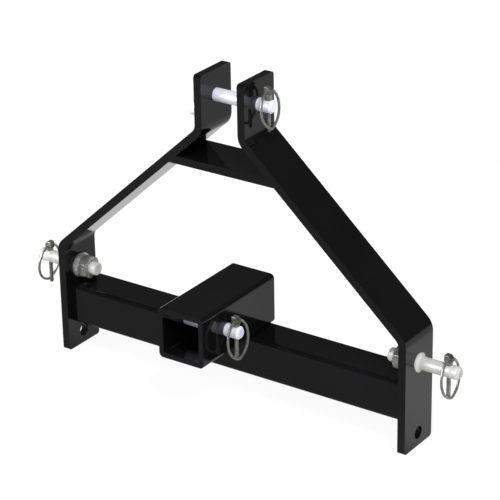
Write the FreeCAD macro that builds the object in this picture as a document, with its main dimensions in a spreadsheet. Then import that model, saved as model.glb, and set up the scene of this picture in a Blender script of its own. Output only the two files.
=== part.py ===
import FreeCAD, Part
import math
import os

# Three point receiver hitch for a small tractor.
# X runs to the right along the lower pins, Y runs back from the open end of the receiver tube,
# Z is up. The origin is midway between the two lower pins, on their common axis.

doc = FreeCAD.newDocument("receiver_hitch")
sizes = doc.addObject("Spreadsheet::Sheet", "sizes")

# Driving dimensions in millimetres and degrees. Heights named rise are above the lower edge of the feet.
DIMENSIONS = [
    ("half_span", 250.0, "outer face of each arm from the middle"),
    ("bar_thick", 10.0, "flat bar of the arms"),
    ("bar_width", 60.0, "flat bar of the arms"),
    ("low_bend_rise", 145.5, "lower bend, outer corner"),
    ("slope_rise", 196.0, "lower bend to upper bend, outer corners"),
    ("ear_length", 66.5, "upper bend to the top of the ears"),
    ("ear_half", 35.0, "outer face of each ear from the middle"),
    ("bend_inside", 12.0, "inside radius of the arm's bends"),
    ("corner_round", 4.0, "rounded corners of the feet and ears"),
    ("lift_rise", 108.0, "lower pin axis"),
    ("top_set", 31.0, "top pin axis below the top of the ears"),
    ("foot_hole_rise", 17.0, "bolt hole in each foot"),
    ("foot_hole_diam", 16.0, "bolt hole in each foot"),
    ("cross_rise", 36.7, "underside of the cross tube"),
    ("cross_size", 50.8, "square cross tube"),
    ("cross_wall", 4.76, "wall of the cross tube"),
    ("cross_corner", 5.2, "outer corner radius of the cross tube"),
    ("cross_bore_corner", 1.5, "corner radius inside the cross tube"),
    ("receiver_bore", 50.8, "square socket"),
    ("receiver_wall", 6.35, "wall of the receiver tube"),
    ("receiver_corner", 5.5, "outer corner radius of the receiver tube"),
    ("receiver_bore_corner", 2.0, "corner radius inside the socket"),
    ("receiver_length", 146.0, "receiver tube"),
    ("receiver_pin_set", 48.0, "receiver pin axis behind the open face"),
    ("brace_set", 49.0, "underside of the brace plate below the upper bend"),
    ("brace_thick", 10.0, "brace plate"),
    ("lift_diam", 15.88, "lower pin"),
    ("top_diam", 15.88, "top pin"),
    ("hitch_diam", 15.88, "receiver pin"),
    ("pin_clear", 0.06, "gap round each pin in its hole"),
    ("lift_chamfer", 3.0, "chamfer at the free end of each lower pin"),
    ("stud_chamfer", 0.8, "chamfer at the threaded end of each lower pin"),
    ("collar_diam", 23.2, "collar of the lower pin"),
    ("collar_thick", 1.6, "collar of the lower pin"),
    ("collar_cone", 2.4, "length of the cone between collar and shaft"),
    ("lift_reach", 54.0, "lower pin, arm to free end"),
    ("lift_linch", 38.6, "lower pin, arm to linch pin"),
    ("stud_tail", 9.8, "threaded end past the nut"),
    ("flat_diam", 31.5, "flat washer"),
    ("flat_thick", 3.0, "flat washer"),
    ("washer_diam", 26.0, "lock washer"),
    ("washer_thick", 4.0, "lock washer"),
    ("washer_split", 2.0, "gap in the lock washer"),
    ("nut_flats", 27.0, "nut across flats"),
    ("nut_thick", 11.1, "nut"),
    ("thread_clear", 0.1, "gap between the stud and what it carries"),
    ("top_linch", 13.0, "top pin, ear to linch pin"),
    ("top_seat", 0.8, "top pin, straight part between ear and bend"),
    ("hitch_linch", 13.0, "receiver pin, tube to linch pin"),
    ("hitch_seat", 7.3, "receiver pin, straight part between tube and bend"),
    ("bent_tail", 6.8, "bent pins, linch pin to free end"),
    ("bent_chamfer", 2.2, "chamfer at both ends of the bent pins"),
    ("handle_bend", 9.0, "centre line radius where a pin turns into its handle"),
    ("handle_lean", 32.0, "handle leans forward from straight down, degrees"),
    ("handle_drop", 20.0, "straight part of the handle"),
    ("linch_diam", 5.0, "linch pin shank"),
    ("linch_clear", 0.08, "gap round the linch pin in its hole"),
    ("linch_length", 44.6, "linch pin shank below its shoulder"),
    ("linch_point", 1.6, "chamfer at the linch pin's tip"),
    ("shoulder_diam", 8.6, "linch pin shoulder under its head"),
    ("shoulder_tall", 2.9, "linch pin shoulder under its head"),
    ("head_deep", 9.6, "linch pin head along X"),
    ("head_wide", 8.2, "linch pin head along Y"),
    ("head_tall", 9.2, "linch pin head"),
    ("head_slope", 3.4, "bevel on the outer top edge of the linch pin head"),
    ("head_round", 1.4, "rounded edges of the linch pin head"),
    ("head_seat", 0.3, "gap between the linch pin's shoulder and the pin that it locks"),
    ("eye_rise", 2.8, "ring axis above the underside of the head"),
    ("wire_diam", 3.2, "ring wire"),
    ("wire_clear", 0.06, "gap round the ring wire in the head"),
    ("ring_half", 20.0, "half width of the ring, to the middle of the wire"),
    ("ring_cross", 5.0, "how far the centre of each half ring lies beyond the middle"),
    ("ring_mouth", 1.2, "gap between the head and where the ring starts to curve"),
    ("ring_grip", 2.9, "length of each straight end of the ring inside the head"),
    ("ring_lie", 0.3, "gap between the resting ring and the linch pin shank"),
    ("top_shank_diam", 4.2, "top linch pin shank"),
    ("top_shank_length", 40.0, "top linch pin shank below its shoulder"),
    ("top_shoulder_tall", 6.5, "top linch pin shoulder under its head"),
    ("top_eye_rise", 4.2, "top ring axis above the underside of the head"),
    ("top_ring_half", 18.0, "half width of the top ring, to the middle of the wire"),
    ("top_ring_cross", 7.0, "how far the centre of each half of the top ring lies beyond the middle"),
]
for row, (alias, value, note) in enumerate(DIMENSIONS, start=1):
    sizes.set("A%d" % row, alias)
    sizes.set("B%d" % row, str(value))
    sizes.set("C%d" % row, note)
    sizes.setAlias("B%d" % row, alias)
doc.recompute()


def size(alias):
    """A driving dimension as a plain number."""
    return float(getattr(sizes, alias))


def bind(obj, **rules):
    """Tie properties to the sheet. A double underscore in a name stands for a dot."""
    for name, rule in rules.items():
        obj.setExpression(name.replace("__", "."), rule)
    return obj


def place(obj, x="0", y="0", z="0"):
    """Tie an object's place to the sheet."""
    return bind(obj, Placement__Base__x=x, Placement__Base__y=y, Placement__Base__z=z)


def turn(obj, axis, angle):
    """Turn an object about its own base point."""
    base = obj.Placement.Base
    obj.Placement = FreeCAD.Placement(base, FreeCAD.Rotation(FreeCAD.Vector(*axis), angle))
    return obj


def add(kind, name):
    return doc.addObject(kind, name)


def new_body(label):
    body = add("PartDesign::Body", label)
    body.Label = label
    return body


def edges_of(shape, wanted):
    """Names of the edges for which wanted(edge) is true."""
    return ["Edge%d" % (i + 1) for i, edge in enumerate(shape.Edges) if wanted(edge)]


def curve_kind(edge):
    """What an edge's curve is. The point at a pole has none."""
    return "none" if edge.Degenerated else edge.Curve.TypeId


def runs_along(edge, axis):
    """True for a straight edge parallel to the axis numbered 0, 1 or 2."""
    if curve_kind(edge) != "Part::GeomLine":
        return False
    return abs(abs(edge.Curve.Direction[axis]) - 1.0) < 1e-6


def ring_at_foot(edge, low):
    """True for a round edge square to Z at the given height."""
    return curve_kind(edge) == "Part::GeomCircle" and abs(edge.CenterOfMass.z - low) < 0.01


def round_edges(body, feature, names, rule, kind="Fillet"):
    """Fillet or chamfer named edges of a body's last feature."""
    doc.recompute()
    dressed = body.newObject("PartDesign::" + kind, kind)
    dressed.Base = (feature, names)
    bind(dressed, **{"Radius" if kind == "Fillet" else "Size": rule})
    doc.recompute()
    return dressed


def origin_plane(body, role):
    return next(item for item in body.Origin.OriginFeatures if item.Role == role)


def outline(body, role, corners):
    """A closed sketch whose corners are tied to the sheet, one pair of rules each."""
    import Sketcher
    sketch = body.newObject("Sketcher::SketchObject", "Outline")
    sketch.AttachmentSupport = (origin_plane(body, role), [""])
    sketch.MapMode = "FlatFace"
    doc.recompute()
    guess = [(40.0 * math.cos(a), 40.0 * math.sin(a) + 50.0)
             for a in (2.0 * math.pi * i / len(corners) for i in range(len(corners)))]
    points = [FreeCAD.Vector(x, y, 0.0) for x, y in guess]
    for start, end in zip(points, points[1:] + points[:1]):
        sketch.addGeometry(Part.LineSegment(start, end), False)
    for i in range(len(corners)):
        sketch.addConstraint(Sketcher.Constraint("Coincident", i, 2, (i + 1) % len(corners), 1))
    for i, (across, up) in enumerate(corners):
        for kind, rule, start in (("DistanceX", across, points[i].x), ("DistanceY", up, points[i].y)):
            index = sketch.addConstraint(Sketcher.Constraint(kind, -1, 1, i, 1, start))
            sketch.setExpression("Constraints[%d]" % index, rule)
    doc.recompute()
    return sketch


def pad_both_ways(body, sketch, rule):
    pad = body.newObject("PartDesign::Pad", "Pad")
    pad.Profile = sketch
    pad.Midplane = True
    bind(pad, Length=rule)
    doc.recompute()
    return pad


def drill(body, radius, length, axis, x="0", y="0", z="0"):
    """A round hole of a body along X, Y or Z, from the given point onwards."""
    hole = body.newObject("PartDesign::SubtractiveCylinder", "Hole")
    bind(hole, Radius=radius, Height=length)
    place(hole, x, y, z)
    if axis == "X":
        turn(hole, (0, 1, 0), 90)
    if axis == "Y":
        turn(hole, (1, 0, 0), -90)
    doc.recompute()
    return hole


# Shared rules, written once from the sheet
SPREAD = "(sizes.half_span - sizes.ear_half) / sizes.slope_rise"
SLOPE = "atan(%s)" % SPREAD
HIGH_BEND = "(sizes.low_bend_rise + sizes.slope_rise)"
EAR_TOP = "(%s + sizes.ear_length)" % HIGH_BEND
INNER_SHIFT = "sizes.bar_thick * tan(%s / 2)" % SLOPE
RECEIVER_SIZE = "(sizes.receiver_bore + 2 * sizes.receiver_wall)"
BACK = "sizes.bar_width / 2"
RECEIVER_FRONT = "(%s - sizes.receiver_length)" % BACK
CROSS_TOP = "(sizes.cross_rise + sizes.cross_size - sizes.lift_rise)"
HITCH_Y = "(%s + sizes.receiver_pin_set)" % RECEIVER_FRONT
HITCH_Z = "(%s + %s / 2)" % (CROSS_TOP, RECEIVER_SIZE)
TOP_RISE = "(%s - sizes.top_set)" % EAR_TOP
TOP_Z = "(%s - sizes.lift_rise)" % TOP_RISE
BRACE_RISE = "(%s - sizes.brace_set)" % HIGH_BEND


# Arms: flat bar bent twice, foot at the bottom and ear at the top
def at_bend(edge, convex):
    """True for an edge across the bar at one of its two bends, on the convex or the concave side."""
    if not runs_along(edge, 1):
        return False
    middle = edge.CenterOfMass
    slope = math.atan((size("half_span") - size("ear_half")) / size("slope_rise"))
    high_bend = size("low_bend_rise") + size("slope_rise")
    shift = size("bar_thick") * math.tan(slope / 2.0)
    sides = {True: ((size("half_span"), size("low_bend_rise")),
                    (size("ear_half") - size("bar_thick"), high_bend - shift)),
             False: ((size("half_span") - size("bar_thick"), size("low_bend_rise") - shift),
                     (size("ear_half"), high_bend))}
    return any(math.hypot(middle.x - x, middle.z - z) < 0.5 for x, z in sides[convex])


def at_end(edge):
    """True for an edge through the bar's thickness at the foot or at the top of the ear."""
    if not runs_along(edge, 0):
        return False
    ear_top = size("low_bend_rise") + size("slope_rise") + size("ear_length")
    return edge.CenterOfMass.z < 0.5 or edge.CenterOfMass.z > ear_top - 0.5


arm = new_body("right_arm")
place(arm, z="-sizes.lift_rise")
inner_low = "sizes.low_bend_rise - " + INNER_SHIFT
inner_high = "%s - %s" % (HIGH_BEND, INNER_SHIFT)
profile = outline(arm, "XZ_Plane", [
    ("sizes.half_span", "0"),
    ("sizes.half_span", "sizes.low_bend_rise"),
    ("sizes.ear_half", HIGH_BEND),
    ("sizes.ear_half", EAR_TOP),
    ("sizes.ear_half - sizes.bar_thick", EAR_TOP),
    ("sizes.ear_half - sizes.bar_thick", inner_high),
    ("sizes.half_span - sizes.bar_thick", inner_low),
    ("sizes.half_span - sizes.bar_thick", "0"),
])
step = pad_both_ways(arm, profile, "sizes.bar_width")
step = round_edges(arm, step, edges_of(step.Shape, lambda e: at_bend(e, True)),
                   "sizes.bend_inside + sizes.bar_thick")
step = round_edges(arm, step, edges_of(step.Shape, lambda e: at_bend(e, False)), "sizes.bend_inside")
step = round_edges(arm, step, edges_of(step.Shape, at_end), "sizes.corner_round")
ARM_HOLES = [
    ("sizes.foot_hole_diam / 2", "sizes.half_span - sizes.bar_thick - 1", "sizes.foot_hole_rise"),
    ("sizes.lift_diam / 2 + sizes.pin_clear", "sizes.half_span - sizes.bar_thick - 1", "sizes.lift_rise"),
    ("sizes.top_diam / 2 + sizes.pin_clear", "sizes.ear_half - sizes.bar_thick - 1", TOP_RISE),
]
for radius, start, rise in ARM_HOLES:
    drill(arm, radius, "sizes.bar_thick + 2", "X", x=start, z=rise)


# Cross tube: square tube between the arms, flush with their back edges
def square_tube(label, axis, length, width, wall, corner, inner_corner, x, y, z):
    """A square tube along X (0) or Y (1) from the given corner, its width running along the other two axes."""
    tube = new_body(label)
    place(tube, x, y, z)
    outer = tube.newObject("PartDesign::AdditiveBox", "Tube")
    sides = {0: (length, width, width), 1: (width, length, width)}[axis]
    bind(outer, Length=sides[0], Width=sides[1], Height=sides[2])
    doc.recompute()
    long_edges = edges_of(outer.Shape, lambda e: runs_along(e, axis))
    rounded = round_edges(tube, outer, long_edges, corner)
    bore = tube.newObject("PartDesign::SubtractiveBox", "Bore")
    inside = "%s - 2 * %s" % (width, wall)
    past = "%s + 2" % length
    sides = {0: (past, inside, inside), 1: (inside, past, inside)}[axis]
    bind(bore, Length=sides[0], Width=sides[1], Height=sides[2])
    place(bore, *{0: ("-1", wall, wall), 1: (wall, "-1", wall)}[axis])
    doc.recompute()
    outer_box = rounded.Shape.BoundBox
    width_now = min(outer_box.XLength, outer_box.ZLength) if axis == 1 else outer_box.ZLength
    other = 2 if axis == 1 else 1

    def in_bore(edge):
        """True for the long edges that are nearer the middle than the outer skin."""
        if not runs_along(edge, axis):
            return False
        middle = edge.CenterOfMass
        across = (middle.x if axis == 1 else middle.y) - width_now / 2.0
        up = middle.z - width_now / 2.0
        return abs(abs(across) - abs(up)) < 0.01 and abs(across) < width_now / 2.0 - 0.5

    corners = edges_of(bore.Shape, in_bore)
    round_edges(tube, bore, corners, inner_corner)
    return tube


square_tube("cross_tube", 0, "2 * (sizes.half_span - sizes.bar_thick)", "sizes.cross_size", "sizes.cross_wall",
            "sizes.cross_corner", "sizes.cross_bore_corner",
            "sizes.bar_thick - sizes.half_span", BACK + " - sizes.cross_size", "sizes.cross_rise - sizes.lift_rise")

# Receiver tube: square socket on top of the cross tube, with a hole through both sides for its pin
receiver = square_tube("receiver_tube", 1, "sizes.receiver_length", RECEIVER_SIZE, "sizes.receiver_wall",
                       "sizes.receiver_corner", "sizes.receiver_bore_corner",
                       "-%s / 2" % RECEIVER_SIZE, RECEIVER_FRONT, CROSS_TOP)
drill(receiver, "sizes.hitch_diam / 2 + sizes.pin_clear", RECEIVER_SIZE + " + 2", "X",
      x="-1", y="sizes.receiver_pin_set", z=RECEIVER_SIZE + " / 2")

# Brace plate: flat bar across the mast, its ends cut to the arms' slope
brace = new_body("mast_brace")
place(brace, z="-sizes.lift_rise")


def inner_face(rise):
    """The arm's inner face at a height, on its sloping part."""
    return "sizes.half_span - sizes.bar_thick - (%s - (%s)) * %s" % (rise, inner_low, SPREAD)


low_half = inner_face(BRACE_RISE)
high_half = inner_face("(%s + sizes.brace_thick)" % BRACE_RISE)
profile = outline(brace, "XZ_Plane", [
    (low_half, BRACE_RISE),
    (high_half, BRACE_RISE + " + sizes.brace_thick"),
    ("-(%s)" % high_half, BRACE_RISE + " + sizes.brace_thick"),
    ("-(%s)" % low_half, BRACE_RISE),
])
pad_both_ways(brace, profile, "sizes.bar_width")


# Right lower pin: threaded stud through the arm, collar against its outer face, linch hole near the free end
def ends_along_x(edge, xs):
    """True for a round edge square to X at one of the given places."""
    if curve_kind(edge) != "Part::GeomCircle":
        return False
    return any(abs(edge.CenterOfMass.x - x) < 0.01 for x in xs)


INNER = "(sizes.half_span - sizes.bar_thick)"
STUD = "(sizes.flat_thick + sizes.washer_thick + sizes.nut_thick + sizes.stud_tail)"
lift_pin = new_body("right_lift_pin")
shaft = lift_pin.newObject("PartDesign::AdditiveCylinder", "Shaft")
bind(shaft, Radius="sizes.lift_diam / 2", Height="%s + sizes.bar_thick + sizes.lift_reach" % STUD)
turn(place(shaft, x="%s - %s" % (INNER, STUD)), (0, 1, 0), 90)
doc.recompute()
stud_end = shaft.Shape.BoundBox.XMin
free_end = shaft.Shape.BoundBox.XMax
step = round_edges(lift_pin, shaft, edges_of(shaft.Shape, lambda e: ends_along_x(e, (stud_end,))),
                   "sizes.stud_chamfer", "Chamfer")
round_edges(lift_pin, step, edges_of(step.Shape, lambda e: ends_along_x(e, (free_end,))),
            "sizes.lift_chamfer", "Chamfer")
collar = lift_pin.newObject("PartDesign::AdditiveCylinder", "Collar")
bind(collar, Radius="sizes.collar_diam / 2", Height="sizes.collar_thick")
turn(place(collar, x="sizes.half_span"), (0, 1, 0), 90)
doc.recompute()
cone = lift_pin.newObject("PartDesign::AdditiveCone", "Cone")
bind(cone, Radius1="sizes.lift_diam / 2 + sizes.collar_cone", Radius2="sizes.lift_diam / 2",
     Height="sizes.collar_cone")
turn(place(cone, x="sizes.half_span + sizes.collar_thick"), (0, 1, 0), 90)
doc.recompute()
drill(lift_pin, "sizes.linch_diam / 2 + sizes.linch_clear", "2 * sizes.lift_diam", "Z",
      x="sizes.half_span + sizes.lift_linch", z="-sizes.lift_diam")


# Flat washer, lock washer and nut on the stud, inside the arm
def disc(name, radius, thick, x):
    """A round disc standing square to X."""
    return turn(place(bind(add("Part::Cylinder", name), Radius=radius, Height=thick), x=x), (0, 1, 0), 90)


def cut(label, base, tool):
    result = add("Part::Cut", label)
    result.Base = base
    result.Tool = tool
    result.Label = label
    return result


flat_x = "%s - sizes.flat_thick" % INNER
flat_blank = disc("FlatBlank", "sizes.flat_diam / 2", "sizes.flat_thick", flat_x)
flat_eye = disc("FlatEye", "sizes.lift_diam / 2 + sizes.thread_clear", "sizes.flat_thick + 2", flat_x + " - 1")
cut("right_flat_washer", flat_blank, flat_eye)

washer_x = "%s - sizes.flat_thick - sizes.washer_thick" % INNER
blank = disc("WasherBlank", "sizes.washer_diam / 2", "sizes.washer_thick", washer_x)
eye = disc("WasherEye", "sizes.lift_diam / 2 + sizes.thread_clear", "sizes.washer_thick + 2", washer_x + " - 1")
slit = bind(add("Part::Box", "WasherSlit"), Length="sizes.washer_thick + 2", Width="sizes.washer_split",
            Height="sizes.washer_diam")
place(slit, washer_x + " - 1", "-sizes.washer_split / 2", "0")
cut("right_lock_washer", cut("WasherRing", blank, eye), slit)

nut_x = "%s - sizes.flat_thick - sizes.washer_thick - sizes.nut_thick" % INNER
hexagon = bind(add("Part::Prism", "NutHexagon"), Circumradius="sizes.nut_flats / 2 / cos(30)",
               Height="sizes.nut_thick")
hexagon.Polygon = 6
turn(place(hexagon, x=nut_x), (0, 1, 0), 90)
crown = new_body("NutCrown")
round_blank = crown.newObject("PartDesign::AdditiveCylinder", "Crown")
bind(round_blank, Radius="sizes.nut_flats / 2 / cos(30)", Height="sizes.nut_thick")
turn(place(round_blank, x=nut_x), (0, 1, 0), 90)
doc.recompute()
ends = (round_blank.Shape.BoundBox.XMin, round_blank.Shape.BoundBox.XMax)
round_edges(crown, round_blank, edges_of(round_blank.Shape, lambda e: ends_along_x(e, ends)),
            "sizes.nut_flats / 2 / cos(30) - sizes.nut_flats / 2", "Chamfer")
nut_form = add("Part::MultiCommon", "NutForm")
nut_form.Shapes = [hexagon, crown]
thread = disc("NutThread", "sizes.lift_diam / 2 + sizes.thread_clear", "sizes.nut_thick + 2", nut_x + " - 1")
cut("right_lift_nut", nut_form, thread)


# Bent pins: a shaft along X whose left end turns down into a handle. Each is drilled for its linch pin.
def bent_pin(label, diam, wall_half, seat, linch, shank, y, z):
    pin = new_body(label)
    place(pin, y=y, z=z)
    pin.Placement = FreeCAD.Placement(FreeCAD.Vector(), FreeCAD.Rotation(FreeCAD.Vector(1, 0, 0), -1))
    bind(pin, Placement__Rotation__Angle="-sizes.handle_lean")
    bend_x = "-(%s + %s)" % (wall_half, seat)
    shaft = pin.newObject("PartDesign::AdditiveCylinder", "Shaft")
    bind(shaft, Radius=diam + " / 2", Height="2 * %s + %s + %s + sizes.bent_tail" % (wall_half, seat, linch))
    turn(place(shaft, x=bend_x), (0, 1, 0), 90)
    doc.recompute()
    free_end = shaft.Shape.BoundBox.XMax
    round_edges(pin, shaft, edges_of(shaft.Shape, lambda e: ends_along_x(e, (free_end,))),
                "sizes.bent_chamfer", "Chamfer")
    bend = pin.newObject("PartDesign::AdditiveTorus", "Bend")
    bind(bend, Radius1="sizes.handle_bend", Radius2=diam + " / 2")
    bend.Angle3 = 90
    place(bend, x=bend_x, z="-sizes.handle_bend")
    columns = FreeCAD.Matrix(0, -1, 0, 0, 0, 0, -1, 0, 1, 0, 0, 0, 0, 0, 0, 1)
    bend.Placement = FreeCAD.Placement(bend.Placement.Base, FreeCAD.Rotation(columns))
    doc.recompute()
    leg = pin.newObject("PartDesign::AdditiveCylinder", "Leg")
    bind(leg, Radius=diam + " / 2", Height="sizes.handle_drop")
    place(leg, x=bend_x + " - sizes.handle_bend", z="-sizes.handle_bend - sizes.handle_drop")
    doc.recompute()
    low = leg.Shape.BoundBox.ZMin
    tip = edges_of(leg.Shape, lambda e: ring_at_foot(e, low))
    round_edges(pin, leg, tip, "sizes.bent_chamfer", "Chamfer")
    hole = drill(pin, shank + " / 2 + sizes.linch_clear", "2 * " + diam, "Z",
                 x="%s + %s" % (wall_half, linch), y="%s * sin(sizes.handle_lean)" % diam,
                 z="-%s * cos(sizes.handle_lean)" % diam)
    hole.Placement = FreeCAD.Placement(hole.Placement.Base, FreeCAD.Rotation(FreeCAD.Vector(1, 0, 0), 1))
    bind(hole, Placement__Rotation__Angle="sizes.handle_lean")
    doc.recompute()
    return pin


bent_pin("top_pin", "sizes.top_diam", "sizes.ear_half", "sizes.top_seat", "sizes.top_linch",
         "sizes.top_shank_diam", "0", TOP_Z)
bent_pin("receiver_pin", "sizes.hitch_diam", RECEIVER_SIZE + " / 2", "sizes.hitch_seat", "sizes.hitch_linch",
         "sizes.linch_diam", HITCH_Y, HITCH_Z)


# Linch pins: a round shank under a shoulder and a rounded head, whose outer top edge slopes.
# The spring ring turns in the bore through the head.
def linch_pin(label, diam, rule, x, y, z):
    pin = new_body(label)
    place(pin, x, y, "%s + %s / 2 + sizes.head_seat" % (z, diam))
    head = pin.newObject("PartDesign::AdditiveBox", "Head")
    bind(head, Length="sizes.head_deep", Width="sizes.head_wide", Height="sizes.head_tall")
    place(head, "-sizes.head_deep / 2", "-sizes.head_wide / 2", rule["shoulder"])
    doc.recompute()
    top = head.Shape.BoundBox.ZMax
    outer = head.Shape.BoundBox.XMax
    sloped = round_edges(pin, head, edges_of(head.Shape, lambda e: runs_along(e, 1) and e.CenterOfMass.x > outer - 0.1
                                             and e.CenterOfMass.z > top - 0.1), "sizes.head_slope", "Chamfer")
    everything = ["Edge%d" % (i + 1) for i in range(len(sloped.Shape.Edges))]
    round_edges(pin, sloped, everything, "sizes.head_round")
    shoulder = pin.newObject("PartDesign::AdditiveCylinder", "Shoulder")
    bind(shoulder, Radius="sizes.shoulder_diam / 2", Height="%s + %s / 2" % (rule["shoulder"], rule["eye"]))
    doc.recompute()
    shank = pin.newObject("PartDesign::AdditiveCylinder", "Shank")
    bind(shank, Radius=rule["shank"] + " / 2", Height="%s + %s" % (rule["length"], rule["shoulder"]))
    place(shank, z="-" + rule["length"])
    doc.recompute()
    low = shank.Shape.BoundBox.ZMin
    tip = edges_of(shank.Shape, lambda e: ring_at_foot(e, low))
    round_edges(pin, shank, tip, "sizes.linch_point", "Chamfer")
    drill(pin, "sizes.wire_diam / 2 + sizes.wire_clear", "sizes.head_wide + 2", "Y",
          y="-sizes.head_wide / 2 - 1", z="%s + %s" % (rule["shoulder"], rule["eye"]))
    return pin


def spring_ring(label, diam, rule, x, y, z):
    """Wire ring of two arcs that meet in a blunt point. Its straight ends point at each other inside the head."""
    mouth = "(sizes.head_wide / 2 + sizes.ring_mouth)"
    cross = rule["cross"]
    radius = "(%s + %s)" % (rule["half"], cross)
    sink = "sqrt(%s * %s - (%s + %s) * (%s + %s))" % (radius, radius, mouth, cross, mouth, cross)
    depth = "sqrt(%s * %s - %s * %s)" % (radius, radius, cross, cross)
    parts = []
    for sign, opposite, turned in (("", "-", FreeCAD.Rotation(FreeCAD.Vector(0, 1, 0), 90)),
                                   ("-", "", FreeCAD.Rotation(FreeCAD.Vector(1, 0, -1), 180))):
        arc = bind(add("Part::Torus", label + "_arc"), Radius1=radius, Radius2="sizes.wire_diam / 2",
                   Angle3="180 deg - asin(%s / %s) - asin((%s + %s) / %s)"
                   % (cross, radius, mouth, cross, radius))
        arc.Placement = FreeCAD.Placement(FreeCAD.Vector(), turned)
        half = add("Part::Compound", label + "_half")
        half.Links = [arc]
        half.Placement = FreeCAD.Placement(FreeCAD.Vector(), FreeCAD.Rotation(FreeCAD.Vector(1, 0, 0), 1))
        place(half, y=opposite + cross, z="-" + sink)
        bind(half, Placement__Rotation__Angle="%sasin(%s / %s)" % (sign, cross, radius))
        end = bind(add("Part::Cylinder", label + "_end"), Radius="sizes.wire_diam / 2",
                   Height="sizes.ring_mouth + sizes.ring_grip")
        start = "-" + mouth if sign else "%s - sizes.ring_mouth - sizes.ring_grip" % mouth
        turn(place(end, y=start), (1, 0, 0), -90)
        knee = bind(add("Part::Sphere", label + "_knee"), Radius="sizes.wire_diam / 2")
        place(knee, y=sign + mouth)
        parts += [half, end, knee]
    point = bind(add("Part::Sphere", label + "_point"), Radius="sizes.wire_diam / 2")
    place(point, z="-%s - %s" % (sink, depth))
    parts.append(point)
    ring = add("Part::MultiFuse", label)
    ring.Shapes = parts
    ring.Label = label
    ring.Placement = FreeCAD.Placement(FreeCAD.Vector(), FreeCAD.Rotation(FreeCAD.Vector(0, 1, 0), -1))
    place(ring, x, y, "%s + %s / 2 + sizes.head_seat + %s + %s" % (z, diam, rule["shoulder"], rule["eye"]))
    bind(ring, Placement__Rotation__Angle="-asin((%s / 2 + sizes.ring_lie + sizes.wire_diam / 2)"
                                          " / (%s + %s))" % (rule["shank"], sink, depth))
    return ring


# The top linch pin is thinner and stands higher than the others, and its ring is narrower.
USUAL = {"shank": "sizes.linch_diam", "length": "sizes.linch_length", "shoulder": "sizes.shoulder_tall",
         "eye": "sizes.eye_rise", "half": "sizes.ring_half", "cross": "sizes.ring_cross"}
SLIM = {"shank": "sizes.top_shank_diam", "length": "sizes.top_shank_length", "shoulder": "sizes.top_shoulder_tall",
        "eye": "sizes.top_eye_rise", "half": "sizes.top_ring_half", "cross": "sizes.top_ring_cross"}
LOCKED = [
    ("right_lift", "sizes.lift_diam", USUAL, "sizes.half_span + sizes.lift_linch", "0", "0"),
    ("top", "sizes.top_diam", SLIM, "sizes.ear_half + sizes.top_linch", "0", TOP_Z),
    ("receiver", "sizes.hitch_diam", USUAL, RECEIVER_SIZE + " / 2 + sizes.hitch_linch", HITCH_Y, HITCH_Z),
]
for name, diam, rule, x, y, z in LOCKED:
    linch_pin(name + "_linch_pin", diam, rule, x, y, z)
    spring_ring(name + "_linch_ring", diam, rule, x, y, z)

# Left side: the mirror image of the right
for name in ("arm", "lift_pin", "flat_washer", "lock_washer", "lift_nut", "lift_linch_pin", "lift_linch_ring"):
    mirrored = add("Part::Mirroring", "left_" + name)
    mirrored.Label = "left_" + name
    mirrored.Source = next(item for item in doc.Objects if item.Label == "right_" + name)
    mirrored.Normal = FreeCAD.Vector(1, 0, 0)
    mirrored.Base = FreeCAD.Vector(0, 0, 0)
doc.recompute()

NODES = ["right_arm", "left_arm", "cross_tube", "receiver_tube", "mast_brace", "right_lift_pin", "left_lift_pin",
         "right_flat_washer", "left_flat_washer", "right_lock_washer", "left_lock_washer",
         "right_lift_nut", "left_lift_nut", "top_pin", "receiver_pin",
         "right_lift_linch_pin", "left_lift_linch_pin", "top_linch_pin", "receiver_linch_pin",
         "right_lift_linch_ring", "left_lift_linch_ring", "top_linch_ring", "receiver_linch_ring"]

# Every object has to be sound before anything is written
for item in doc.Objects:
    if "Invalid" in item.State or "Error" in item.State:
        raise RuntimeError("%s did not recompute" % item.Label)
os.makedirs("parts", exist_ok=True)
for label in NODES:
    piece = next(item for item in doc.Objects if item.Label == label)
    if piece.Shape.isNull() or not piece.Shape.isValid():
        raise RuntimeError("%s has no sound shape" % label)
    if len(piece.Shape.Solids) != 1:
        raise RuntimeError("%s is %d solids" % (label, len(piece.Shape.Solids)))
    piece.Shape.exportStep("parts/%s.step" % label)
    box = piece.Shape.BoundBox
    print("%-24s x %8.2f %8.2f  y %8.2f %8.2f  z %8.2f %8.2f  %10.1f mm3" % (
        label, box.XMin, box.XMax, box.YMin, box.YMax, box.ZMin, box.ZMax, piece.Shape.Volume))
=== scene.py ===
import math

import bpy
import numpy as np
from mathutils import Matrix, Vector


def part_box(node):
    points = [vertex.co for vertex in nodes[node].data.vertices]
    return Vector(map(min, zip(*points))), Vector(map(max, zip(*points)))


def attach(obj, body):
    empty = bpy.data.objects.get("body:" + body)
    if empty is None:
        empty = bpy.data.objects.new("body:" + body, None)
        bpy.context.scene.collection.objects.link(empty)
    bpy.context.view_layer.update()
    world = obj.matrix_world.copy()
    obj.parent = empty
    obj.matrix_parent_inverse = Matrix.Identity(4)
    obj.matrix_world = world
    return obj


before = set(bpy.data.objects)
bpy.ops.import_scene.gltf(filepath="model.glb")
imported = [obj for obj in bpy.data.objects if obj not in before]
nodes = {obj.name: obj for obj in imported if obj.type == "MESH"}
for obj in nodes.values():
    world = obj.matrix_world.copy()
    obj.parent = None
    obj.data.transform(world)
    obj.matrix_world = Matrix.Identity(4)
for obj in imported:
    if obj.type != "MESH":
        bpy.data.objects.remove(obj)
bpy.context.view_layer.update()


# Frame: two arms of bent flat bar, a cross tube, a receiver tube on it and a brace plate under the ears.
# Mild steel, welded into one piece, then sprayed with black gloss powder and baked.
# The coat has fine orange peel, uneven gloss, and a tone that wanders slightly from patch to patch.

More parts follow.
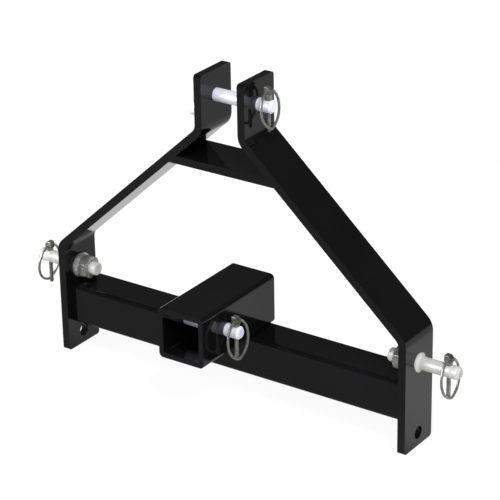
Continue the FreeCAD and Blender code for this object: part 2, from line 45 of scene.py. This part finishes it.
# Relief of every finish. Edge is the radius that sharp edges are softened to, and Depth is how tall the bumps
# of Height are.
relief = bpy.data.node_groups.new("relief", "ShaderNodeTree")
for name in ("Height", "Depth", "Edge"):
    relief.interface.new_socket(name, in_out="INPUT", socket_type="NodeSocketFloat")
relief.interface.new_socket("Normal", in_out="OUTPUT", socket_type="NodeSocketVector")
given = relief.nodes.new("NodeGroupInput")
made = relief.nodes.new("NodeGroupOutput")
soft = relief.nodes.new("ShaderNodeBevel")
soft.samples = 6
bump = relief.nodes.new("ShaderNodeBump")
relief.links.new(given.outputs["Edge"], soft.inputs["Radius"])
relief.links.new(soft.outputs[0], bump.inputs["Normal"])
relief.links.new(given.outputs["Height"], bump.inputs["Height"])
relief.links.new(given.outputs["Depth"], bump.inputs["Distance"])
relief.links.new(bump.outputs[0], made.inputs[0])


def new_material(name):
    """A new material, with its tree, its shader and the coordinates of the piece that it lies on."""
    material = bpy.data.materials.new(name)
    material.use_nodes = True
    tree = material.node_tree
    shader = tree.nodes["Principled BSDF"]
    coordinates = tree.nodes.new("ShaderNodeTexCoord").outputs["Object"]
    return material, tree, shader, coordinates


def noise(tree, coordinates, scale, detail):
    """Cloudy noise over the coordinates."""
    node = tree.nodes.new("ShaderNodeTexNoise")
    node.inputs["Scale"].default_value = scale
    node.inputs["Detail"].default_value = detail
    tree.links.new(coordinates, node.inputs["Vector"])
    return node.outputs["Fac"]


def set_tone(tree, shader, value, stops, colours):
    """Colour that runs from one colour to the other as the value runs from one stop to the other."""
    ramp = tree.nodes.new("ShaderNodeValToRGB")
    for element, stop, colour in zip(ramp.color_ramp.elements, stops, colours):
        element.position = stop
        element.color = (*colour, 1.0)
    tree.links.new(value, ramp.inputs["Fac"])
    tree.links.new(ramp.outputs["Color"], shader.inputs["Base Color"])


def set_gloss(tree, shader, value, smooth, rough):
    """Roughness that runs from smooth to rough as the value runs from 0 to 1."""
    gloss = tree.nodes.new("ShaderNodeMapRange")
    gloss.inputs["To Min"].default_value = smooth
    gloss.inputs["To Max"].default_value = rough
    tree.links.new(value, gloss.inputs["Value"])
    tree.links.new(gloss.outputs["Result"], shader.inputs["Roughness"])


def set_relief(tree, shader, height, depth, edge):
    """The relief group with this material's own depth and edge radius, in metres."""
    surface = tree.nodes.new("ShaderNodeGroup")
    surface.node_tree = relief
    surface.inputs["Depth"].default_value = depth
    surface.inputs["Edge"].default_value = edge
    tree.links.new(height, surface.inputs["Height"])
    tree.links.new(surface.outputs["Normal"], shader.inputs["Normal"])


def lay_on(names, *materials):
    """Give each named piece these materials and no others."""
    for name in names:
        slots = nodes[name].data.materials
        slots.clear()
        for material in materials:
            slots.append(material)


coat, tree, shader, coordinates = new_material("powder_coat")
shader.inputs["IOR"].default_value = 1.5
peel = noise(tree, coordinates, scale=420.0, detail=2.0)
patches = noise(tree, coordinates, scale=9.0, detail=4.0)
set_tone(tree, shader, patches, stops=(0.35, 0.65),
         colours=((0.0030, 0.0030, 0.0034), (0.0045, 0.0045, 0.0052)))
set_gloss(tree, shader, patches, smooth=0.05, rough=0.13)
set_relief(tree, shader, peel, depth=0.00001, edge=0.0003)
lay_on(("right_arm", "left_arm", "cross_tube", "receiver_tube", "mast_brace"), coat)


# Top pin and receiver pin, each bent into a handle at its left end.
# Turned steel with bright zinc plating, nearly white with a faint lavender tint.
# Turning left very fine rings along X, and the plating clouds them.
zinc, tree, shader, coordinates = new_material("bright_zinc")
shader.inputs["Metallic"].default_value = 0.05
split = tree.nodes.new("ShaderNodeSeparateXYZ")
rings = tree.nodes.new("ShaderNodeTexNoise")
rings.noise_dimensions = "1D"
rings.inputs["Scale"].default_value = 2400.0
rings.inputs["Detail"].default_value = 3.0
clouded_rings = tree.nodes.new("ShaderNodeMath")
clouded_rings.operation = "MULTIPLY"
tree.links.new(coordinates, split.inputs[0])
tree.links.new(split.outputs["X"], rings.inputs["W"])
tree.links.new(rings.outputs["Fac"], clouded_rings.inputs[0])
tree.links.new(noise(tree, coordinates, scale=60.0, detail=5.0), clouded_rings.inputs[1])
set_tone(tree, shader, clouded_rings.outputs[0], stops=(0.12, 0.30),
         colours=((0.76, 0.77, 0.90), (0.92, 0.93, 1.0)))
set_gloss(tree, shader, rings.outputs["Fac"], smooth=0.22, rough=0.42)
set_relief(tree, shader, rings.outputs["Fac"], depth=0.00001, edge=0.0004)
lay_on(("top_pin", "receiver_pin"), zinc)


# Lift pins with a collar outside the arm and a threaded stud through it.
# Turned steel with the same zinc, a little duller and without the blue tint.


def recoloured(material, name, dark, pale):
    """A copy of a finish that runs between two other colours."""
    copied = material.copy()
    copied.name = name
    ramp = next(item for item in copied.node_tree.nodes if item.type == "VALTORGB").color_ramp
    ramp.elements[0].color = (*dark, 1.0)
    ramp.elements[1].color = (*pale, 1.0)
    return copied


pale_zinc = recoloured(zinc, "pale_zinc", dark=(0.50, 0.50, 0.49), pale=(0.70, 0.71, 0.69))
lay_on(("right_lift_pin", "left_lift_pin"), pale_zinc)

# Rolled thread on the free end of each stud, past the nut.
# Its radius is the stud's, less the depth of the root, plus a ridge that follows the cosine of the way along
# the stud in pitches less the way round it in turns. The ridge fades out at both ends, and a flat face closes
# each end.
stud_radius = 0.00794
pitch = 0.00141
root_depth = 0.0001
ridge_height = 0.00042
fade_length = 0.0006
bare_tip = 0.0007
steps_round = 72
steps_along = 96
start = float(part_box("right_lift_pin")[0][0]) + bare_tip
length = float(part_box("right_lift_nut")[0][0]) - start
angle = np.linspace(0.0, 2.0 * np.pi, steps_round, endpoint=False)
turn, run = np.meshgrid(angle, np.linspace(0.0, length, steps_along))
phase = run / pitch - turn / (2.0 * np.pi)
ridge = 0.5 + 0.5 * np.cos(2.0 * np.pi * phase)
fade = np.clip(np.minimum(run, length - run) / fade_length, 0.0, 1.0)
radius = stud_radius - root_depth + ridge_height * ridge * fade
thread_points = np.stack([run, radius * np.cos(turn), radius * np.sin(turn)], axis=-1).reshape(-1, 3)
row = np.arange(steps_along - 1)[:, None] * steps_round
column = np.arange(steps_round)[None, :]
beside = (column + 1) % steps_round
thread_faces = np.stack([row + column, row + beside, row + steps_round + beside, row + steps_round + column],
                        axis=-1).reshape(-1, 4)
end_faces = np.stack([np.arange(steps_round)[::-1],
                      np.arange(steps_round) + (steps_along - 1) * steps_round])
for side, sign, order in (("right", 1.0, 1), ("left", -1.0, -1)):
    points = thread_points.copy()
    points[:, 0] = sign * (points[:, 0] + start)
    mesh = bpy.data.meshes.new(side + "_stud_thread")
    mesh.from_pydata(points.tolist(), [], thread_faces[:, ::order].tolist() + end_faces[:, ::order].tolist())
    mesh.shade_smooth()
    thread = bpy.data.objects.new(side + "_stud_thread", mesh)
    bpy.context.scene.collection.objects.link(thread)
    mesh.materials.append(pale_zinc)
    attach(thread, "frame")


# Nuts inside the arms, which hold the lift pins.
# Steel with grey zinc plating that clouds from warm grey to pale grey, with small pits.
nut_zinc, tree, shader, coordinates = new_material("grey_zinc")
shader.inputs["Metallic"].default_value = 0.7
cloud = noise(tree, coordinates, scale=170.0, detail=6.0)
pits = tree.nodes.new("ShaderNodeTexVoronoi")
pits.inputs["Scale"].default_value = 900.0
tree.links.new(coordinates, pits.inputs["Vector"])
set_tone(tree, shader, cloud, stops=(0.32, 0.68), colours=((0.32, 0.315, 0.305), (0.62, 0.62, 0.61)))
set_gloss(tree, shader, cloud, smooth=0.16, rough=0.36)
set_relief(tree, shader, pits.outputs["Distance"], depth=0.00002, edge=0.0006)
lay_on(("right_lift_nut", "left_lift_nut"), nut_zinc)


# Flat washers against the arms and split lock washers under the nuts.
# Stamped from steel sheet, and plated like the nuts but brighter.
washer_zinc = recoloured(nut_zinc, "washer_zinc", dark=(0.52, 0.52, 0.51), pale=(0.86, 0.86, 0.85))
lay_on([side + kind for side in ("right", "left") for kind in ("_flat_washer", "_lock_washer")], washer_zinc)


# Spring rings of the linch pins.
# Each is one length of drawn spring wire, plated, with both ends sprung into the bore of the head.
# Fine drawing marks lie among slightly darker stains. They are drawn out along Z, which follows the wire on
# the upright sides of a ring.
LINCH_PLACES = ("right_lift", "left_lift", "top", "receiver")
wire, tree, shader, coordinates = new_material("plated_wire")
shader.inputs["Metallic"].default_value = 0.7
stretched = tree.nodes.new("ShaderNodeMapping")
stretched.inputs["Scale"].default_value = (1.0, 1.0, 0.12)
tree.links.new(coordinates, stretched.inputs["Vector"])
marks = noise(tree, stretched.outputs["Vector"], scale=1600.0, detail=2.0)
stain = noise(tree, coordinates, scale=180.0, detail=5.0)
set_tone(tree, shader, stain, stops=(0.3, 0.7), colours=((0.26, 0.26, 0.245), (0.44, 0.44, 0.42)))
set_gloss(tree, shader, marks, smooth=0.2, rough=0.4)
set_relief(tree, shader, marks, depth=0.00002, edge=0.0003)
lay_on([place + "_linch_ring" for place in LINCH_PLACES], wire)


# Linch pins: a sloped cast head on a turned shank.
# The shank is plated like the rings. The head is darker and rougher, as it comes from the mould, and its
# faces are those within its height of the pin's top.
head_height = 0.0092
cast = recoloured(wire, "cast_head", dark=(0.09, 0.09, 0.086), pale=(0.30, 0.30, 0.29))
cast_gloss = next(item for item in cast.node_tree.nodes if item.type == "MAP_RANGE")
cast_gloss.inputs["To Min"].default_value = 0.42
cast_gloss.inputs["To Max"].default_value = 0.60
for place in LINCH_PLACES:
    linch_pin = place + "_linch_pin"
    lay_on((linch_pin,), wire, cast)
    faces = nodes[linch_pin].data.polygons
    centres = np.empty(len(faces) * 3)
    faces.foreach_get("center", centres)
    from_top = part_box(linch_pin)[1][2] - centres[2::3]
    faces.foreach_set("material_index", (from_top < head_height).astype(np.int32))


# Floor under the feet.
# White to the camera, with a faint shadow of the hitch. Glossy surfaces see a painted reflection instead: a
# glow that is grey in front, lighter behind, and brightest in two painted pools of light, one on the right
# and one in the left corner behind.
floor_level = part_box("right_arm")[0][2]
floor_reach = 9.0
floor_mesh = bpy.data.meshes.new("floor")
floor_mesh.from_pydata([(x * floor_reach, y * floor_reach, float(floor_level))
                        for x, y in ((-1, -1), (1, -1), (1, 1), (-1, 1))], [], [(0, 1, 2, 3)])
floor = bpy.data.objects.new("floor", floor_mesh)
bpy.context.scene.collection.objects.link(floor)
paint = bpy.data.materials.new("floor_paint")
paint.use_nodes = True
tree = paint.node_tree
tree.nodes.remove(tree.nodes["Principled BSDF"])
point = tree.nodes.new("ShaderNodeNewGeometry").outputs["Position"]
split = tree.nodes.new("ShaderNodeSeparateXYZ")
tree.links.new(point, split.inputs[0])


def shade_between(value, first, last, low, high):
    """A strength that runs smoothly from low to high as the value runs from first to last, in metres."""
    shade = tree.nodes.new("ShaderNodeMapRange")
    shade.interpolation_type = "SMOOTHSTEP"
    for socket, number in (("From Min", first), ("From Max", last), ("To Min", low), ("To Max", high)):
        shade.inputs[socket].default_value = number
    tree.links.new(value, shade.inputs["Value"])
    return shade.outputs["Result"]


def combined(operation, first, second):
    """Two values added or multiplied."""
    sum_or_product = tree.nodes.new("ShaderNodeMath")
    sum_or_product.operation = operation
    tree.links.new(first, sum_or_product.inputs[0])
    tree.links.new(second, sum_or_product.inputs[1])
    return sum_or_product.outputs[0]


# Painted reflection: the glow that glossy surfaces see on the floor, a front-to-back gradient plus two
# painted pools of light.
right_pool_middle = (0.34, 0.11, float(floor_level))
from_pool = tree.nodes.new("ShaderNodeVectorMath")
from_pool.operation = "DISTANCE"
from_pool.inputs[1].default_value = right_pool_middle
tree.links.new(point, from_pool.inputs[0])
ground = shade_between(split.outputs["Y"], first=-0.04, last=0.02, low=0.23, high=0.48)
right_pool = shade_between(from_pool.outputs["Value"], first=0.3, last=0.0, low=0.0, high=0.29)
corner_pool = combined("MULTIPLY",
                       shade_between(split.outputs["X"], first=-0.17, last=-0.28, low=0.0, high=1.0),
                       shade_between(split.outputs["Y"], first=0.03, last=0.15, low=0.0, high=0.3))
painted_reflection = tree.nodes.new("ShaderNodeEmission")
painted_reflection_strength = combined("ADD", combined("ADD", ground, right_pool), corner_pool)
tree.links.new(painted_reflection_strength, painted_reflection.inputs["Strength"])
seen_by_camera = tree.nodes.new("ShaderNodeEmission")
seen_by_camera.inputs["Strength"].default_value = 1.06
matt = tree.nodes.new("ShaderNodeBsdfDiffuse")
matt.inputs["Color"].default_value = (0.8, 0.8, 0.8, 1.0)
path = tree.nodes.new("ShaderNodeLightPath")
camera_share = tree.nodes.new("ShaderNodeMath")
camera_share.operation = "MULTIPLY"
camera_share.inputs[1].default_value = 0.88
mix_gloss = tree.nodes.new("ShaderNodeMixShader")
mix_camera = tree.nodes.new("ShaderNodeMixShader")
tree.links.new(path.outputs["Is Glossy Ray"], mix_gloss.inputs[0])
tree.links.new(matt.outputs[0], mix_gloss.inputs[1])
tree.links.new(painted_reflection.outputs[0], mix_gloss.inputs[2])
tree.links.new(path.outputs["Is Camera Ray"], camera_share.inputs[0])
tree.links.new(camera_share.outputs[0], mix_camera.inputs[0])
tree.links.new(mix_gloss.outputs[0], mix_camera.inputs[1])
tree.links.new(seen_by_camera.outputs[0], mix_camera.inputs[2])
tree.links.new(mix_camera.outputs[0], tree.nodes["Material Output"].inputs["Surface"])
floor_mesh.materials.append(paint)


# Surroundings.
# White to the camera, soft light for matt surfaces, and a dark room in glossy reflections.
# Inputs 2 and 3 of a float Mix are what it gives at 0 and at 1.
world = bpy.data.worlds.new("room")
bpy.context.scene.world = world
world.use_nodes = True
tree = world.node_tree
tree.nodes.clear()
path = tree.nodes.new("ShaderNodeLightPath")
matt_or_gloss = tree.nodes.new("ShaderNodeMix")
matt_or_gloss.data_type = "FLOAT"
matt_or_gloss.inputs[2].default_value = 0.45
matt_or_gloss.inputs[3].default_value = 0.09
or_camera = tree.nodes.new("ShaderNodeMix")
or_camera.data_type = "FLOAT"
or_camera.inputs[3].default_value = 1.0
sky = tree.nodes.new("ShaderNodeBackground")
result = tree.nodes.new("ShaderNodeOutputWorld")
tree.links.new(path.outputs["Is Glossy Ray"], matt_or_gloss.inputs[0])
tree.links.new(path.outputs["Is Camera Ray"], or_camera.inputs[0])
tree.links.new(matt_or_gloss.outputs[0], or_camera.inputs[2])
tree.links.new(or_camera.outputs[0], sky.inputs["Strength"])
tree.links.new(sky.outputs[0], result.inputs["Surface"])


# Soft lamps: the key above the camera's right shoulder, and a weak fill from the left.
# Neither shows in glossy paint, so the black faces carry only the painted reflection on the floor and the
# dark room.
for name, power, place, turn in (("key", 76.0, (1.6, -1.2, 2.4), (35.0, 0.0, 50.0)),
                                 ("fill", 34.0, (-1.7, -1.3, 0.9), (67.0, 0.0, -52.0))):
    lamp_data = bpy.data.lights.new(name, "AREA")
    lamp_data.energy = power
    lamp_data.size = 1.2
    lamp = bpy.data.objects.new(name, lamp_data)
    lamp.location = place
    lamp.rotation_euler = [math.radians(part) for part in turn]
    lamp.visible_glossy = False
    bpy.context.scene.collection.objects.link(lamp)


# A lamp that only the plated pieces receive, and only in their gloss, low in front on the left.
# It lays a soft bright streak along round pins and wires and on the edges of the nuts.
plated = bpy.data.collections.new("plated_pieces")
for name, piece in nodes.items():
    if name.endswith(("_pin", "_ring", "_washer", "_nut")):
        plated.objects.link(piece)
streak_place = Vector((-1.3, -1.7, 0.95))
streak_data = bpy.data.lights.new("streak", "AREA")
streak_data.energy = 95.0
streak_data.size = 1.7
streak = bpy.data.objects.new("streak", streak_data)
streak.location = streak_place
streak.rotation_euler = streak_place.to_track_quat("Z", "Y").to_euler()
streak.visible_diffuse = False
streak.light_linking.receiver_collection = plated
bpy.context.scene.collection.objects.link(streak)


# Camera.
# Long lens from the front right, a little above the hitch, rolled by one degree.
camera_data = bpy.data.cameras.new("camera")
camera_data.lens = 161.06
camera_data.sensor_width = 36.0
camera_data.clip_end = 50.0
camera = bpy.data.objects.new("camera", camera_data)
camera.location = (1.388, -1.953, 1.173)
camera.rotation_euler = (math.radians(65.4363), math.radians(0.9641), math.radians(34.5994))
bpy.context.scene.collection.objects.link(camera)
bpy.context.scene.camera = camera
bpy.context.scene.view_settings.view_transform = "Standard"
